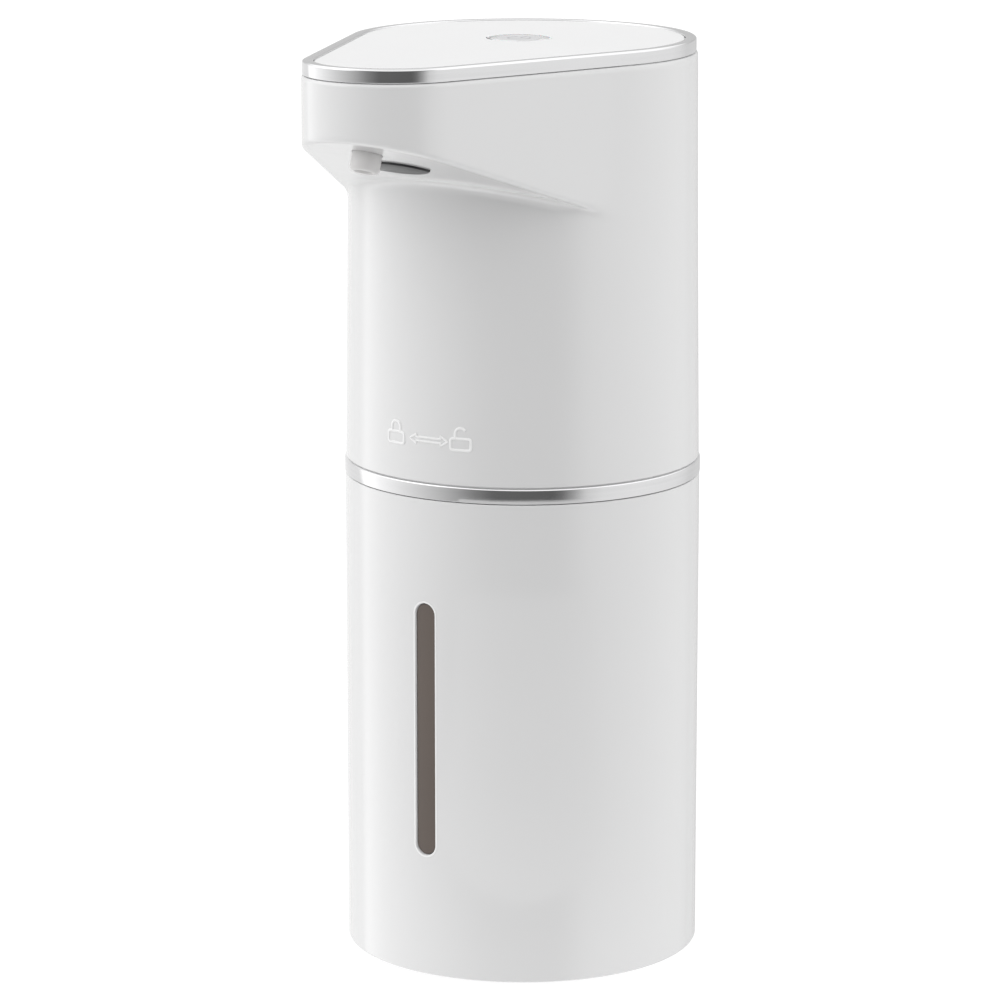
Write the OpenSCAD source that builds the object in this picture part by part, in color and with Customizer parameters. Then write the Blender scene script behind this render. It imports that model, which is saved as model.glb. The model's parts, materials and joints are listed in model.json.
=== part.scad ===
// Touch-free foaming soap dispenser: a round tank that the user fills, a drop-nosed head that
// twists onto it, and a slim wall bracket behind it.
// Frame: +Z up, the nozzle points to -Y, the origin is the centre of the foot's underside.

/* [Tank] */
// Outer radius of the tank
tank_r = 37.15; // [36.8:0.05:37.25]
// Height of the tank's top edge above the surface
tank_top = 101.5; // [101:0.1:101.6]
// Wall thickness of the white tank shell
tank_wall = 2.0; // [1.8:0.1:2.2]
// Height of the anti-slip foot that shows below the shell
foot_gap = 0.5; // [0.4:0.1:0.8]
// Height of the level window
slot_h = 53.4; // [30:0.2:56]
// Width of the level window
slot_w = 4.6; // [4:0.1:6]
// Height of the level window's lower end
slot_z = 26.3; // [22:0.1:28]
// Turn of the level window away from the spout, clockwise seen from above
slot_turn = 1.8; // [0:0.1:3]

/* [Head] */
// Outer radius of the head just above the silver ring
head_r_low = 37.0; // [36.8:0.05:37.1]
// Outer radius of the head at its top edge
head_r_top = 35.95; // [35.6:0.05:36.2]
// Height of the whole dispenser
overall_h = 192.4; // [192:0.1:194]
// Height of the top trim
rim_h = 2.8; // [2:0.1:3]
// Height of the silver ring between tank and head
ring_h = 3.0; // [2.6:0.1:3]
// Distance from the column's axis to the centre of the rounded nose
nose_d = 50; // [48:0.5:52]
// Radius of the rounded nose
nose_r = 18.1; // [17.8:0.1:19]
// Slope of the spout's underside
under_slope = 20; // [18:0.5:21]
// Height of the underside at the nose's tip
under_tip_z = 177.9; // [176:0.1:178.5]
// Wall thickness of the head shell
head_wall = 2.0; // [1.8:0.1:2.1]

/* [Nozzle and sensor] */
// Distance from the column's axis to the nozzle, level with the underside
nozzle_d = 59.5; // [59:0.5:61]
// Outer radius of the nozzle tip
nozzle_r = 3.0; // [2.8:0.1:3.2]
// How far the nozzle stands out of the underside
nozzle_len = 3.7; // [3.4:0.1:5]
// Distance from the column's axis to the corners of the leaf-shaped sensor window
window_d = 48.6; // [48:0.1:50]
// Half the distance between the sensor window's corners
window_half_w = 7.7; // [7:0.1:8.2]
// How far the sensor window bulges towards the nozzle
window_bulge = 4.6; // [4:0.1:6]
// How far the sensor window bulges towards the column
window_back = 4.0; // [2:0.1:4.5]
// How far the sensor window stands out of the underside
window_proud = 0.4; // [0.3:0.1:0.9]

/* [Lock and button] */
// Turn between locked and released
lock_turn = 24; // [22:1:26]
// Number of bayonet lugs
lug_count = 3; // [3]
// Radius of the power button
button_r = 6.0; // [5.8:0.1:6.4]
// Distance from the column's axis to the power button, towards the nose
button_d = 1.6; // [1:0.1:4]
// Travel of the power button
button_travel = 0.5; // [0.3:0.1:0.6]

/* [Wall bracket] */
// Width of the wall plate
plate_w = 28; // [26:1:28]
// Height of the wall plate
plate_h = 60; // [58:1:62]
// Distance between the wall plate's screw holes
plate_hole_pitch = 46; // [44:1:48]
// Radius of the wall plate's screw holes
plate_hole_r = 2.2; // [2:0.1:2.4]

/* [Hidden] */
$fn = 96;
EPS = 0.01;
WHITE = [0.95, 0.95, 0.95];
SILVER = [0.78, 0.78, 0.79];
SMOKE = [0.42, 0.36, 0.33];
BLACK = [0.06, 0.06, 0.07];
GREY = [0.55, 0.56, 0.58];
PALE = [0.86, 0.87, 0.88];
STEEL = [0.7, 0.7, 0.72];
BOARD = [0.05, 0.33, 0.2];
BRASS = [0.8, 0.66, 0.3];
RUBBER = [0.3, 0.3, 0.32];

// Gap between parts that move past each other
clear = 0.3;
// Gap between parts of one body that slide together
fit_gap = 0.15;
// Bite of the spout's flat sides into the column and the nose
side_bite = 0.4;

// Levels, from the foot up
ring_z = tank_top + clear;
head_z = ring_z + ring_h;
rim_z = overall_h - rim_h;
head_h = rim_z - head_z;

// Tank
shell_in_r = tank_r - tank_wall;
bottle_r = shell_in_r - 0.2;
bottle_wall = 1.5;
bottle_in_r = bottle_r - bottle_wall;
bottle_z = foot_gap + tank_wall;
foot_r = 31;

// Bayonet: tabs on the collar, lugs on the head's skirt
collar_r = bottle_in_r - 0.1;
collar_in_r = collar_r - 1.6;
collar_z = 88;
skirt_r = 29.7;
skirt_in_r = 27.4;
tab_arc = lock_turn - 4;
tab_z = 94.4;
tab_h = 2.6;
lug_h = 2;
lug_z = tab_z - clear - lug_h;
skirt_z = lug_z - 0.6;
seal_z = 99;
seal_r = 30.3;
seal_wire_r = 1.0;
groove_r = 29.2;

// Head chassis and its screws
plug_r = 34.75;
floor_z = head_z;
floor_top = floor_z + 2;
boss_ring_r = 23.5;
boss_r = 3.2;
boss_top = floor_top + 5.7;
BOSS_ANGLES = [90, 210, 330];

// Foam pump, from its cover up to the motor
pump_y = -8;
pump_r = 13;
cover_z = 109.5;
cover_h = 4;
valve_z = cover_z + cover_h;
valve_h = 2;
rubber_z = valve_z + valve_h;
rubber_h = 1.5;
housing_z = rubber_z + rubber_h;
housing_h = 16;
motor_z = housing_z + housing_h;
motor_h = 29;
motor_r = 12;
shaft_r = 1;
pump_screw_ring_r = 11.2;
PUMP_SCREW_ANGLES = [0, 120, 240];
CUP_ANGLES = [60, 180, 300];
cup_ring_r = 6.6;
cup_r = 3.6;
cup_h = 4;
wobble_z = housing_z + cup_h + 0.4;
wobble_r = 8.5;
pin_offset = 1.5;
pin_r = 1.0;
port_angle = 35;
port_z = cover_z + 2;

// Foam hose: from the pump, up, and along the spout to the foam chamber
hose_r = 2.5;
hose_bore_r = 1.6;
barb_r = 1.5;
bend_r = 6;
hose_run = 24;
chamber_axis_len = 8;
chamber_r = 5;
hose_rise = [hose_run * cos(port_angle), pump_y + hose_run * sin(port_angle)];
chamber_y = -nozzle_d + chamber_axis_len * sin(under_slope);
hose_top_z = under_z(nozzle_d) + chamber_axis_len * cos(under_slope);
hose_heading = atan2(chamber_y - hose_rise[1], -hose_rise[0]);
hose_level_len = norm([hose_rise[0], hose_rise[1] - chamber_y]);

// Dip tube, on the tank's axis
dip_r = 3;
dip_bore_r = 2;
dip_z = 9;

// Battery
cell = [-20.1, 8.2];
cell_r = 9.15;
cell_len = 65;
cradle_r = 10.6;
cradle_floor_z = floor_top + 5.7;
tab_t = 0.3;
cell_z = cradle_floor_z + 2 + tab_t;

// Boards under the top plate
board_r = 27;
board_t = 1.6;
board_z = rim_z - 4.5;
post_ring_r = 23;
POST_ANGLES = [70, 180, 282];
switch_h = 1.1;
plate_z = rim_z + 0.5;
plate_top = overall_h - 0.2;

// Insets from the head's outline: the top trim's outside and flange, and the top plate
trim_inset = 0.2;
flange_inset = 4.2;
plate_inset = 2.6;

// Charging port, low on the back of the column
port_cz = 125;
port_w = 8.94;
port_h = 3.26;
port_len = 7.5;
recess_floor_y = 35.2;
charge_board_y = 26.3;
flap_w = 14.4;
flap_h = 9;
flap_t = 1.1;
flap_z = port_cz - flap_h / 2;
flap_y = 35.45;
CHARGE_SCREWS = [[-6.5, -7], [6.5, 7]];

// Wall hanger: a T-shaped tongue on the plate slides up into the rail behind the tank
rail_w = 26;
rail_z = 54;
rail_h = 36;
rail_face_y = 42;
tee_head_w = 14;
tee_neck_w = 8;
tee_head_y = 38.5;
tee_head_t = 1.6;
tee_z = 56;
tee_h = 29.7;
plate_y = rail_face_y + clear;
plate_t = 3;
plate_z0 = tee_z + tee_h / 2 - plate_h / 2;
pad_t = 1;

// ---- Helpers ----

function under_z(along) = under_tip_z - (nose_d + nose_r - along) * tan(under_slope);
function column_r(z) = head_r_low + (head_r_top - head_r_low) * (z - head_z) / head_h;
function polar(r, a) = [r * cos(a), r * sin(a)];

// A round tube or disc between two levels
module pipe(z, h, r, bore) {
    translate([0, 0, z]) difference() {
        cylinder(h = h, r = r);
        translate([0, 0, -1]) cylinder(h = h + 2, r = bore);
    }
}

// Copies of the children on a circle, one at each angle
module around(angles, r, centre = [0, 0]) {
    for (a = angles) translate([centre[0], centre[1], 0] + concat(polar(r, a), [0])) children();
}

// Frame on the spout's underside: local +Y runs back along the slope, +Z into the spout
module on_underside(along) {
    translate([0, -along, under_z(along)]) rotate([-under_slope, 0, 0]) children();
}

// Solid with the head's drop-shaped outline
module drop(z, h, inset, bite = 0.04) {
    big = head_r_top - inset;
    small = nose_r - inset;
    lean = asin((head_r_top - nose_r) / nose_d);
    root = polar(big - bite, -lean);
    tip = polar(small - 0.04, -lean) + [0, -nose_d];
    translate([0, 0, z]) union() {
        if (bite < 0.1) cylinder(h = h, r = big);
        translate([0, -nose_d, 0]) cylinder(h = h, r = small);
        linear_extrude(height = h)
            polygon([root, tip, [-tip[0], tip[1]], [-root[0], root[1]]]);
    }
}

// Everything below the spout's slanted underside, raised by lift along its normal
module below_underside(lift) {
    on_underside(nose_d + nose_r) translate([-60, -30, lift - 80]) cube([120, 160, 80]);
}

// Column and spout, shrunk by inset on every side
module head_body(inset, z_low, z_high) {
    r_low = column_r(z_low) - inset;
    r_high = column_r(z_high) - inset;
    translate([0, 0, z_low]) cylinder(h = z_high - z_low, r1 = r_low, r2 = r_high);
    difference() {
        drop(150, z_high - 150, inset, side_bite);
        below_underside(inset);
    }
}

// Disc whose edge passes through the sensor window's corners and bulges towards -Y
module bulged(bulge, h, grow) {
    r = (window_half_w * window_half_w + bulge * bulge) / (2 * bulge);
    translate([0, r - bulge, 0]) cylinder(h = h, r = r + grow);
}

// Outline of the sensor window: a leaf whose corners lie on the X axis
module leaf(h, grow) {
    intersection() {
        bulged(window_bulge, h, grow);
        mirror([0, 1, 0]) bulged(window_back, h, grow);
    }
}

// Plate with half-round ends, upright in the XZ plane and h thick along Y
module upright_slot(w, tall, h) {
    rotate([90, 0, 0]) translate([0, 0, -h]) union() {
        for (end = [w / 2, tall - w / 2]) translate([0, end, 0]) cylinder(h = h, r = w / 2);
        translate([-w / 2, w / 2, 0]) cube([w, tall - w, h]);
    }
}

// Pan-head screw, head down, its shank starting at the head's top
module screw(head_r, head_h, shank_r, shank_len) {
    difference() {
        union() {
            cylinder(h = head_h, r = head_r);
            cylinder(h = head_h + shank_len, r = shank_r);
        }
        translate([-head_r * 0.6, -0.25, -1]) cube([head_r * 1.2, 0.5, 1 + head_h / 2]);
        translate([-0.25, -head_r * 0.6, -1]) cube([0.5, head_r * 1.2, 1 + head_h / 2]);
    }
}

// ---- Tank ----

module tank_shell() {
    color(WHITE) difference() {
        rotate_extrude() polygon([
            [foot_r + 0.4, foot_gap], [tank_r - 1.2, foot_gap], [tank_r - 0.35, foot_gap + 0.35],
            [tank_r, foot_gap + 1.2], [tank_r, tank_top - 0.3], [tank_r - 0.3, tank_top],
            [shell_in_r, tank_top], [shell_in_r, bottle_z], [foot_r + 0.4, bottle_z]
        ]);
        at_slot() translate([0, -tank_r - 1, slot_z]) upright_slot(slot_w, slot_h, tank_wall + 2);
    }
}

// Frame in which the level window faces -Y
module at_slot() {
    rotate([0, 0, -slot_turn]) children();
}

module inner_bottle() {
    color(SMOKE) union() {
        difference() {
            translate([0, 0, bottle_z]) cylinder(h = tank_top - 0.2 - bottle_z, r = bottle_r);
            translate([0, 0, bottle_z + bottle_wall]) cylinder(h = tank_top, r = bottle_in_r);
        }
        // Raised pad that fills the level window
        intersection() {
            at_slot() translate([0, -tank_r + 0.2, slot_z + fit_gap])
                upright_slot(slot_w - 2 * fit_gap, slot_h - 2 * fit_gap, tank_wall + 1);
            pipe(slot_z, slot_h, tank_r - 0.4, bottle_r - 0.5);
        }
    }
}

module neck_collar() {
    color(PALE) union() {
        pipe(collar_z, tank_top - 0.2 - collar_z, collar_r, collar_in_r);
        for (i = [0 : lug_count - 1])
            rotate(i * 360 / lug_count - tab_arc / 2) rotate_extrude(angle = tab_arc)
                translate([skirt_r + clear, tab_z]) square([collar_r - 1 - skirt_r - clear, tab_h]);
    }
}

module foot_pad() {
    color(RUBBER) cylinder(h = bottle_z, r = foot_r);
}

module hanger_rail() {
    color(WHITE) difference() {
        translate([-rail_w / 2, 30, rail_z]) cube([rail_w, rail_face_y - 30, rail_h]);
        cylinder(h = tank_top, r = tank_r);
        translate([-tee_head_w / 2 - clear, tee_head_y - clear, rail_z - 1])
            cube([tee_head_w + 2 * clear, tee_head_t + 2 * clear, tee_z + tee_h + clear - rail_z + 1]);
        translate([-tee_neck_w / 2 - clear, tee_head_y, rail_z - 1])
            cube([tee_neck_w + 2 * clear, rail_face_y, tee_z + tee_h + clear - rail_z + 1]);
    }
}

// ---- Wall bracket ----

module wall_plate() {
    neck_y = tee_head_y + tee_head_t;
    color(PALE) difference() {
        union() {
            translate([0, plate_y, plate_z0]) upright_slot(plate_w, plate_h, plate_t);
            translate([-tee_neck_w / 2, neck_y - EPS, tee_z])
                cube([tee_neck_w, plate_y - neck_y + 2 * EPS, tee_h]);
            translate([-tee_head_w / 2, tee_head_y, tee_z]) cube([tee_head_w, tee_head_t, tee_h]);
        }
        plate_holes(plate_y, plate_t, true);
    }
}

module adhesive_pad() {
    color(GREY) difference() {
        translate([0, plate_y + plate_t, plate_z0 + 1]) upright_slot(plate_w - 2, plate_h - 2, pad_t);
        plate_holes(plate_y + plate_t, pad_t, false);
    }
}

// Two screw holes through a plate that starts at y and is t thick, sunk at the front if asked
module plate_holes(y, t, sunk) {
    for (end = [-1, 1])
        translate([0, y, plate_z0 + plate_h / 2 + end * plate_hole_pitch / 2]) rotate([-90, 0, 0]) {
            translate([0, 0, -1]) cylinder(h = t + 2, r = plate_hole_r);
            if (sunk) translate([0, 0, -EPS]) cylinder(h = 1, r1 = plate_hole_r + 1.6, r2 = plate_hole_r);
        }
}

// ---- Head shell and trims ----

module head_shell() {
    color(WHITE) difference() {
        union() {
            difference() {
                head_body(0, head_z, rim_z);
                difference() {
                    head_body(head_wall, head_z - 1, rim_z + 1);
                    // Pad behind the charging port
                    translate([-9, 32.8, port_cz - 8]) cube([18, 5, 16]);
                }
            }
            shell_bosses();
        }
        around(BOSS_ANGLES, boss_ring_r) translate([0, 0, floor_top - 1]) cylinder(h = 6, r = 1.3);
        on_underside(nozzle_d) translate([0, 0, -3]) cylinder(h = 8, r = nozzle_r + fit_gap);
        on_underside(window_d) translate([0, 0, -1]) leaf(head_wall + 3, fit_gap);
        port_opening();
    }
}

// Screw bosses inside the shell, each joined to the wall
module shell_bosses() {
    for (a = BOSS_ANGLES) rotate(a) {
        translate([boss_ring_r, 0, floor_top]) cylinder(h = boss_top - floor_top, r = boss_r);
        translate([boss_ring_r, -1, head_z + 3.4])
            cube([plug_r + 0.9 - boss_ring_r, 2, boss_top - head_z - 3.4]);
    }
    for (p = CHARGE_SCREWS) translate([p[0], charge_board_y + 1.2, port_cz + p[1]])
        rotate([-90, 0, 0]) cylinder(h = 7, r = 2);
}

// Recess for the flap, the hole for the socket, and the charge board's screw pilots
module port_opening() {
    recess_w = flap_w + 0.6;
    recess_z = flap_z - 0.6;
    translate([-recess_w / 2, recess_floor_y, recess_z]) cube([recess_w, 4, flap_h + 0.9]);
    translate([-port_w / 2 - fit_gap, 30, port_cz - port_h / 2 - fit_gap])
        cube([port_w + 2 * fit_gap, 8, port_h + 2 * fit_gap]);
    for (p = CHARGE_SCREWS) translate([p[0], charge_board_y, port_cz + p[1]])
        rotate([-90, 0, 0]) cylinder(h = 5.5, r = 0.8);
}

module lower_trim_ring() {
    color(SILVER) rotate_extrude() polygon([
        [plug_r + fit_gap, head_z], [plug_r + fit_gap, ring_z + 1], [plug_r + 1.3, ring_z + 1],
        [plug_r + 1.3, ring_z], [tank_r, ring_z], [tank_r + 0.1, ring_z + 0.3],
        [tank_r + 0.1, head_z - 0.3], [tank_r, head_z]
    ]);
}

module top_trim_ring() {
    color(SILVER) difference() {
        drop(rim_z, rim_h, trim_inset);
        drop(rim_z - 1, rim_h + 2, flange_inset);
        drop(plate_z, rim_h, plate_inset - 0.1);
    }
}

module top_plate() {
    color(WHITE) difference() {
        union() {
            drop(plate_z, plate_top - plate_z, plate_inset);
            around(POST_ANGLES, post_ring_r) translate([0, 0, board_z + board_t])
                cylinder(h = plate_z - board_z - board_t + EPS, r = 2.2);
        }
        at_button() translate([0, 0, plate_z - 1]) cylinder(h = 5, r = button_r + clear + 0.5);
        around(POST_ANGLES, post_ring_r) translate([0, 0, board_z]) cylinder(h = 4, r = 0.8);
    }
}

// Frame on the power button's axis
module at_button() {
    translate([0, -button_d, 0]) children();
}

module button_light_ring() {
    color(PALE) at_button() union() {
        pipe(plate_z - 0.6, plate_top - plate_z + 0.6, button_r + clear + 0.5, button_r + clear);
        pipe(plate_z - 0.6, 0.6, button_r + 2, button_r + clear);
    }
}

module button_cap() {
    color(WHITE) at_button() union() {
        translate([0, 0, plate_z - 0.2]) cylinder(h = plate_top - plate_z + 0.2, r = button_r);
        translate([0, 0, board_z + board_t + switch_h + button_travel + 0.1])
            cylinder(h = plate_z - board_z - board_t - switch_h - button_travel, r = 2);
    }
}

module control_board() {
    color(BOARD) difference() {
        translate([0, 0, board_z]) cylinder(h = board_t, r = board_r);
        around(POST_ANGLES, post_ring_r) translate([0, 0, board_z - 1]) cylinder(h = 4, r = 1.1);
        // Flat towards the spout
        translate([-board_r, -board_r - 1, board_z - 1]) cube([2 * board_r, 4, 4]);
    }
}

module board_screws() {
    color(STEEL) around(POST_ANGLES, post_ring_r) translate([0, 0, board_z - 1])
        screw(1.9, 1, 0.8, 3.2);
}

module tactile_switch() {
    color(BLACK) at_button() translate([0, 0, board_z + board_t]) union() {
        translate([-3, -3, 0]) cube([6, 6, 0.8]);
        cylinder(h = switch_h, r = 1.6);
    }
}

module status_led() {
    color(PALE) at_button() translate([-1, 7.2, board_z + board_t]) cube([2, 1.2, 0.8]);
}

// ---- Sensor and nozzle ----

module sensor_window() {
    color(BLACK) on_underside(window_d) union() {
        translate([0, 0, -window_proud]) leaf(window_proud + head_wall + 0.5, 0);
        // Flange behind the shell's wall
        translate([0, 0, head_wall + 0.1]) leaf(0.8, 0.8);
    }
}

module sensor_board() {
    color(BOARD) on_underside(window_d) translate([-7.5, -6, 5.5]) cube([15, 7, 1]);
}

module ir_diode(x) {
    on_underside(window_d) translate([x, -2.6, 3.3]) cylinder(h = 2.2, r = 1.5);
}

module ir_emitter() {
    color(SMOKE) ir_diode(-4);
}

module ir_receiver() {
    color(BLACK) ir_diode(4);
}

module nozzle_tip() {
    color(WHITE) on_underside(nozzle_d) difference() {
        union() {
            translate([0, 0, -nozzle_len]) cylinder(h = nozzle_len + head_wall + 0.1, r = nozzle_r);
            translate([0, 0, head_wall + 0.1]) cylinder(h = 1, r = nozzle_r + 1.2);
        }
        translate([0, 0, -nozzle_len - 1]) cylinder(h = nozzle_len + 6, r = 1.5);
        translate([0, 0, -nozzle_len - EPS]) cylinder(h = 0.9, r1 = 2.2, r2 = 1.5);
    }
}

module foam_screens() {
    color(STEEL) on_underside(nozzle_d) for (z = [3.3, 5.4]) translate([0, 0, z]) difference() {
        cylinder(h = 0.4, r = 3.2);
        for (x = [-1.8, 0, 1.8], y = [-1.8, 0, 1.8])
            translate([x - 0.45, y - 0.45, -1]) cube([0.9, 0.9, 2]);
    }
}

module foam_chamber() {
    color(PALE) difference() {
        union() {
            on_underside(nozzle_d) translate([0, 0, head_wall + 1.1]) cylinder(h = 9, r = chamber_r);
            hose_end_frame() rotate([0, 90, 0]) cylinder(h = 11, r = barb_r);
        }
        on_underside(nozzle_d) translate([0, 0, head_wall + 1]) cylinder(h = 8, r = 3.3);
        hose_end_frame() rotate([0, 90, 0]) cylinder(h = 12, r = 0.8);
    }
}

// Frame on the foam chamber's axis, local +X along the level run of the hose
module hose_end_frame() {
    translate([0, chamber_y, hose_top_z]) rotate(hose_heading + 180) children();
}

// Straight run along local +X
module level_run(x0, x1, r) {
    translate([x0, 0, 0]) rotate([0, 90, 0]) cylinder(h = x1 - x0, r = r);
}

// Quarter bend in the local XZ plane, a little slimmer than the runs that it joins
module quarter_bend(start, r) {
    rotate([90, 0, 0]) rotate_extrude(start = start, angle = 90)
        translate([bend_r, 0]) circle(r = r - 0.1);
}

// The hose's path as a solid of radius r, its two free ends longer by past
module hose_path(r, past) {
    lap = 0.5;
    // Out of the pump and up
    translate([0, pump_y, port_z]) rotate(port_angle) {
        level_run(pump_r + 1 - past, hose_run - bend_r + lap, r);
        translate([hose_run - bend_r, 0, bend_r]) quarter_bend(270, r);
    }
    translate([hose_rise[0], hose_rise[1], port_z + bend_r - lap])
        cylinder(h = hose_top_z - port_z - 2 * bend_r + 2 * lap, r = r);
    // Over and along the spout
    hose_end_frame() {
        level_run(chamber_r + 1.4 - past, hose_level_len - bend_r + lap, r);
        translate([hose_level_len - bend_r, 0, -bend_r]) quarter_bend(0, r);
    }
}

module foam_hose() {
    color(PALE) difference() {
        hose_path(hose_r, 0);
        hose_path(hose_bore_r, 1);
    }
}

// ---- Foam pump ----

module pump_holes(z, h, r) {
    around(PUMP_SCREW_ANGLES, pump_screw_ring_r, [0, pump_y]) translate([0, 0, z - 1])
        cylinder(h = h + 2, r = r);
}

module pump_cover() {
    color(WHITE) difference() {
        union() {
            translate([0, pump_y, cover_z]) cylinder(h = cover_h, r = pump_r);
            translate([0, 0, cover_z - 6]) cylinder(h = 7, r = dip_bore_r - 0.05);
            translate([0, pump_y, port_z]) rotate(port_angle) rotate([0, 90, 0])
                cylinder(h = pump_r + 6, r = barb_r);
        }
        translate([0, 0, cover_z - 7]) cylinder(h = 10, r = 1.1);
        translate([0, pump_y, port_z]) rotate(port_angle) translate([6, 0, 0]) rotate([0, 90, 0])
            cylinder(h = pump_r + 8, r = 0.8);
        pump_holes(cover_z, cover_h, 1.1);
    }
}

module valve_plate() {
    color(GREY) difference() {
        translate([0, pump_y, valve_z]) cylinder(h = valve_h, r = pump_r);
        pump_holes(valve_z, valve_h, 1.1);
        around(CUP_ANGLES, cup_ring_r, [0, pump_y]) for (x = [-1.4, 1.4])
            translate([x, 0, valve_z - 1]) cylinder(h = valve_h + 2, r = 0.7);
    }
}

module pump_diaphragm() {
    color(RUBBER) difference() {
        union() {
            translate([0, pump_y, rubber_z]) cylinder(h = rubber_h, r = pump_r);
            around(CUP_ANGLES, cup_ring_r, [0, pump_y]) translate([0, 0, housing_z - EPS])
                cylinder(h = cup_h, r = cup_r);
        }
        pump_holes(rubber_z, rubber_h, 1.1);
        around(CUP_ANGLES, cup_ring_r, [0, pump_y]) translate([0, 0, rubber_z - 1])
            cylinder(h = rubber_h + cup_h, r = cup_r - 0.8);
    }
}

module pump_housing() {
    color(WHITE) difference() {
        translate([0, pump_y, housing_z]) cylinder(h = housing_h, r = pump_r);
        difference() {
            translate([0, pump_y, housing_z - 1]) cylinder(h = housing_h - 1.5, r = pump_r - 1.2);
            around(PUMP_SCREW_ANGLES, pump_screw_ring_r, [0, pump_y]) translate([0, 0, housing_z - 2])
                cylinder(h = housing_h + 4, r = 2.1);
        }
        translate([0, pump_y, housing_z]) cylinder(h = housing_h + 1, r = 3);
        pump_holes(housing_z, 8, 0.9);
    }
}

module wobble_plate() {
    color(GREY) difference() {
        union() {
            translate([0, pump_y, wobble_z]) cylinder(h = 1.4, r = wobble_r);
            around(CUP_ANGLES, cup_ring_r, [0, pump_y]) translate([0, 0, housing_z + cup_h - EPS])
                cylinder(h = wobble_z - housing_z - cup_h + 2 * EPS, r = 1.2);
        }
        translate([0, pump_y, wobble_z - 1]) cylinder(h = 4, r = pin_offset + pin_r + 0.4);
    }
}

module pump_screws() {
    color(STEEL) around(PUMP_SCREW_ANGLES, pump_screw_ring_r, [0, pump_y])
        translate([0, 0, cover_z - 1.2]) screw(1.9, 1.2, 0.9, cover_h + valve_h + rubber_h + 8);
}

module pump_motor() {
    color(STEEL) translate([0, pump_y, motor_z]) difference() {
        union() {
            cylinder(h = motor_h, r = motor_r);
            translate([0, 0, motor_h - EPS]) cylinder(h = 2, r = 5);
            for (side = [-1, 1]) translate([side * 8 - 0.3, -1.2, motor_h - EPS]) cube([0.6, 2.4, 4]);
        }
        translate([0, 0, -1]) cylinder(h = 4, r = shaft_r + 0.06);
        translate([0, 0, 3 - EPS]) cylinder(h = 5, r = shaft_r + clear);
    }
}

module motor_sleeve() {
    color(RUBBER) translate([0, pump_y, 0]) pipe(motor_z + 4, 16, motor_r + 1.5, motor_r);
}

module motor_shaft() {
    color(STEEL) translate([0, pump_y, motor_z - 6]) cylinder(h = 13, r = shaft_r);
}

module eccentric_hub() {
    hub_z = wobble_z + 1.4 + clear;
    color(BRASS) translate([0, pump_y, 0]) difference() {
        union() {
            translate([0, 0, hub_z]) cylinder(h = 5, r = 5);
            translate([pin_offset, 0, wobble_z + 0.2]) cylinder(h = 2.5, r = pin_r);
        }
        translate([0, 0, motor_z - 6]) cylinder(h = 8, r = shaft_r);
    }
}

// ---- Battery ----

module battery_cell() {
    color([0.2, 0.45, 0.7]) translate([cell[0], cell[1], cell_z]) union() {
        cylinder(h = cell_len - 1, r = cell_r);
        translate([0, 0, cell_len - 1 - EPS]) cylinder(h = 1 + EPS, r = 2.8);
    }
}

module battery_cradle() {
    color(GREY) translate([cell[0], cell[1], 0]) difference() {
        translate([0, 0, floor_top]) cylinder(h = 42, r = cradle_r);
        translate([0, 0, cradle_floor_z + 2]) cylinder(h = 60, r = cell_r + fit_gap);
        translate([0, 0, floor_top - 1]) cylinder(h = cradle_floor_z - floor_top + 1, r = cradle_r - 1.4);
        // Open side, towards the pump
        rotate(-45) translate([4, -20, cradle_floor_z + 6]) cube([20, 40, 60]);
    }
}

module battery_tabs() {
    color(STEEL) translate([cell[0], cell[1], 0]) {
        translate([-3, -4, cradle_floor_z + 2]) cube([6, 8, tab_t]);
        translate([-3, -4, cell_z + cell_len]) cube([6, 8, tab_t]);
    }
}

// ---- Charging port ----

module charge_port() {
    y0 = recess_floor_y - 0.2 - port_len;
    color(STEEL) translate([0, y0, port_cz]) difference() {
        translate([-port_w / 2, 0, -port_h / 2]) cube([port_w, port_len, port_h]);
        difference() {
            translate([-port_w / 2 + 0.3, 1, -port_h / 2 + 0.3])
                cube([port_w - 0.6, port_len, port_h - 0.6]);
            translate([-3.2, 0, -0.35]) cube([6.4, port_len - 1.6, 0.7]);
        }
    }
}

module charge_board() {
    color(BOARD) difference() {
        translate([-9, charge_board_y, port_cz - 10]) cube([18, 1.2, 20]);
        for (p = CHARGE_SCREWS) translate([p[0], charge_board_y - 1, port_cz + p[1]])
            rotate([-90, 0, 0]) cylinder(h = 4, r = 1.1);
    }
}

module charge_screws() {
    color(STEEL) for (p = CHARGE_SCREWS) translate([p[0], charge_board_y - 1, port_cz + p[1]])
        rotate([-90, 0, 0]) screw(1.8, 1, 0.8, 5);
}

module port_flap() {
    hinge_z = flap_z + 0.4;
    color(PALE) union() {
        translate([-flap_w / 2, flap_y, hinge_z]) cube([flap_w, flap_t, flap_z + flap_h - hinge_z]);
        // Round lower edge, on the hinge's axis
        translate([-flap_w / 2, flap_y + flap_t / 2, hinge_z]) rotate([0, 90, 0])
            cylinder(h = flap_w, r = flap_t / 2);
        translate([-3.7, flap_y - 1.2, port_cz - 0.8]) cube([7.4, 1.3, 1.6]);
    }
}

// ---- Head chassis ----

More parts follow.
